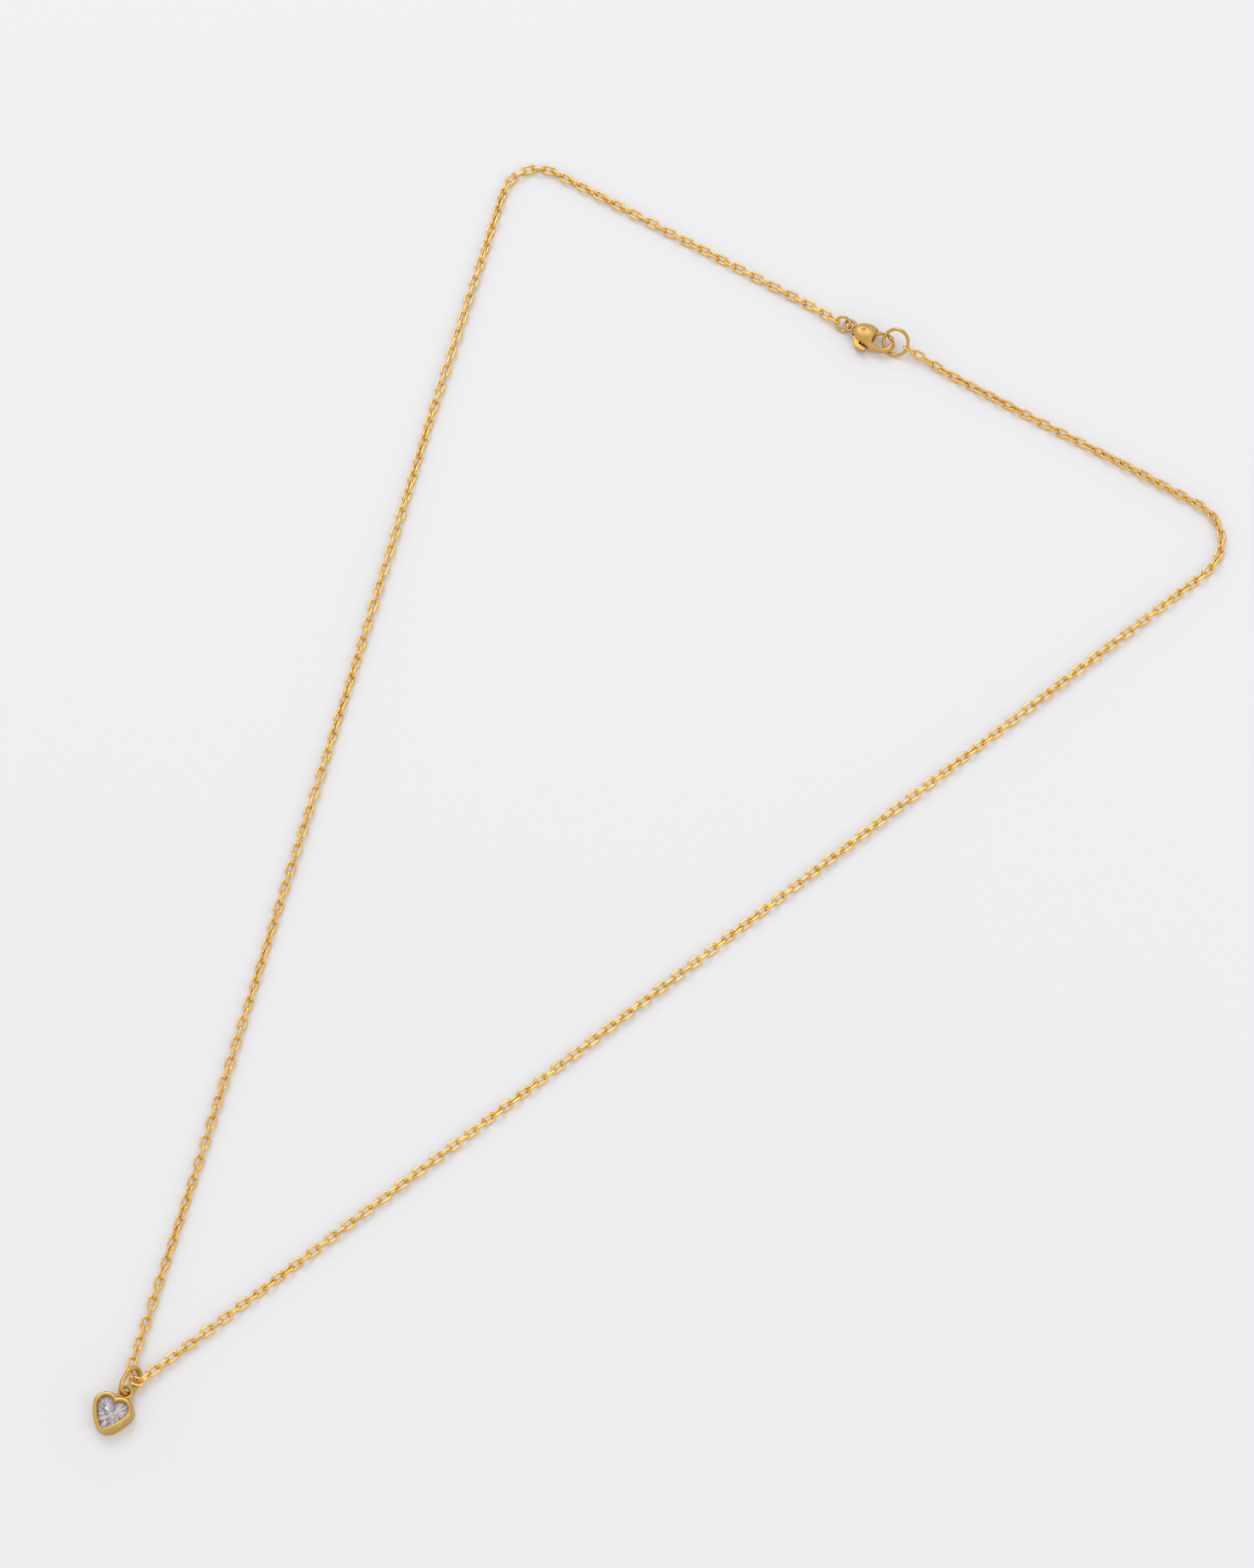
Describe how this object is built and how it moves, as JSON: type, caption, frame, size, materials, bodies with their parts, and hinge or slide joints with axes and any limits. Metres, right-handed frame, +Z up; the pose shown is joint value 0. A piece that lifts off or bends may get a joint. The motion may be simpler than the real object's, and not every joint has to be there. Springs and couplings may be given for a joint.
{
  "type": "pendant necklace",
  "caption": "Fine gold cable-chain necklace with a bezel-set heart pendant on an oval bail, closed at the back with a lobster clasp.",
  "frame": {"origin": "centre of the heart's flat back, on the surface the necklace lies on", "axes": "+Z up out of the surface; +Y from the pendant up the middle of the loop to the clasp; +X to the right seen from above"},
  "size_m": [0.1109, 0.1808, 0.0025],
  "materials": {
    "chain_gold": "polished yellow gold",
    "pendant_gold": "polished deep yellow gold",
    "clasp_gold": "satin yellow gold",
    "spring_steel": "plain",
    "stone": "faceted clear stone"
  },
  "bodies": {
    "band_1": {"left_strand_links_1": "chain_gold", "right_strand_links_1": "chain_gold"},
    "bail_chain": {"bail_links": "chain_gold"},
    "bail": {"bail_ring": "pendant_gold"},
    "pendant": {"heart_bezel": "pendant_gold", "bezel_back_plate": "pendant_gold", "heart_stone": "stone", "pendant_loop": "pendant_gold"},
    "band_2": {"left_strand_links_2": "chain_gold", "right_strand_links_2": "chain_gold"},
    "band_3": {"left_strand_links_3": "chain_gold", "right_strand_links_3": "chain_gold"},
    "band_4": {"left_strand_links_4": "chain_gold", "right_strand_links_4": "chain_gold"},
    "band_5": {"left_strand_links_5": "chain_gold", "right_strand_links_5": "chain_gold"},
    "band_6": {"left_strand_links_6": "chain_gold", "right_strand_links_6": "chain_gold"},
    "band_7": {"left_strand_links_7": "chain_gold", "right_strand_links_7": "chain_gold"},
    "band_8": {"left_strand_links_8": "chain_gold", "right_strand_links_8": "chain_gold"},
    "band_9": {"left_strand_links_9": "chain_gold", "right_strand_links_9": "chain_gold", "back_left_links": "chain_gold", "back_right_links": "chain_gold"},
    "jump_ring": {"clasp_jump_ring": "pendant_gold"},
    "clasp": {"clasp_body": "clasp_gold", "clasp_pin": "clasp_gold", "clasp_spring": "spring_steel"},
    "trigger": {"clasp_trigger": "clasp_gold"},
    "end_ring": {"end_ring": "pendant_gold"}
  },
  "joints": [
    {"name": "bail_chain_lift", "type": "hinge", "parent": "band_1", "child": "bail_chain", "pos_m": [-0.00014, 0.00612, 0.00092], "axis": [-0.971, -0.2392, 0], "range_deg": [0, 25]},
    {"name": "bail_swing", "type": "hinge", "parent": "bail_chain", "child": "bail", "pos_m": [0.00011, 0.00525, 0.00064], "axis": [-0.9781, -0.2079, 0], "range_deg": [0, 10]},
    {"name": "pendant_swing", "type": "hinge", "parent": "bail", "child": "pendant", "pos_m": [-0.00035, 0.00307, 0.00115], "axis": [-0.5371, -0.0583, 0.8415], "range_deg": [-35, 15]},
    {"name": "fold_1", "type": "hinge", "parent": "band_1", "child": "band_2", "pos_m": [-0.00037, 0.02391, 0.00051], "axis": [0.9989, -0.0469, 0.0005], "range_deg": [0, 30]},
    {"name": "fold_2", "type": "hinge", "parent": "band_2", "child": "band_3", "pos_m": [-0.00025, 0.04212, 0.00064], "axis": [1, -0.0044, 0], "range_deg": [0, 30]},
    {"name": "fold_3", "type": "hinge", "parent": "band_3", "child": "band_4", "pos_m": [-0.00036, 0.06032, 0.0005], "axis": [0.9999, -0.0134, 0], "range_deg": [0, 30]},
    {"name": "fold_4", "type": "hinge", "parent": "band_4", "child": "band_5", "pos_m": [-0.00019, 0.07814, 0.00064], "axis": [0.9998, 0.0178, 0], "range_deg": [0, 30]},
    {"name": "fold_5", "type": "hinge", "parent": "band_5", "child": "band_6", "pos_m": [-0.00024, 0.09612, 0.0005], "axis": [0.9999, 0.0161, 0], "range_deg": [0, 30]},
    {"name": "fold_6", "type": "hinge", "parent": "band_6", "child": "band_7", "pos_m": [-0.00065, 0.11366, 0.00063], "axis": [1, -0.0089, 0], "range_deg": [0, 30]},
    {"name": "fold_7", "type": "hinge", "parent": "band_7", "child": "band_8", "pos_m": [-0.00072, 0.13186, 0.00051], "axis": [1, -0.0002, -0.0001], "range_deg": [0, 30]},
    {"name": "fold_8", "type": "hinge", "parent": "band_8", "child": "band_9", "pos_m": [-0.00082, 0.15009, 0.00063], "axis": [1, -0.004, 0], "range_deg": [0, 30]},
    {"name": "jump_ring_roll", "type": "hinge", "parent": "band_9", "child": "jump_ring", "pos_m": [-0.00643, 0.17467, 0.001], "axis": [0.9923, 0.1211, 0.0258], "range_deg": [-8, 8]},
    {"name": "clasp_roll", "type": "hinge", "parent": "jump_ring", "child": "clasp", "pos_m": [-0.00499, 0.17532, 0.00076], "axis": [0.9961, 0.0673, 0.0571], "range_deg": [-8, 4]},
    {"name": "trigger_press", "type": "hinge", "parent": "clasp", "child": "trigger", "pos_m": [-0.00245, 0.17505, 0.00095], "axis": [0, 0, -1], "range_deg": [0, 8], "stiffness_Nm_per_rad": 0.01, "springref_deg": -5.73},
    {"name": "end_ring_roll", "type": "hinge", "parent": "clasp", "child": "end_ring", "pos_m": [0.00147, 0.17458, 0.00056], "axis": [0.8365, 0.4842, 0.2567], "range_deg": [-6, 6]}
  ]
}
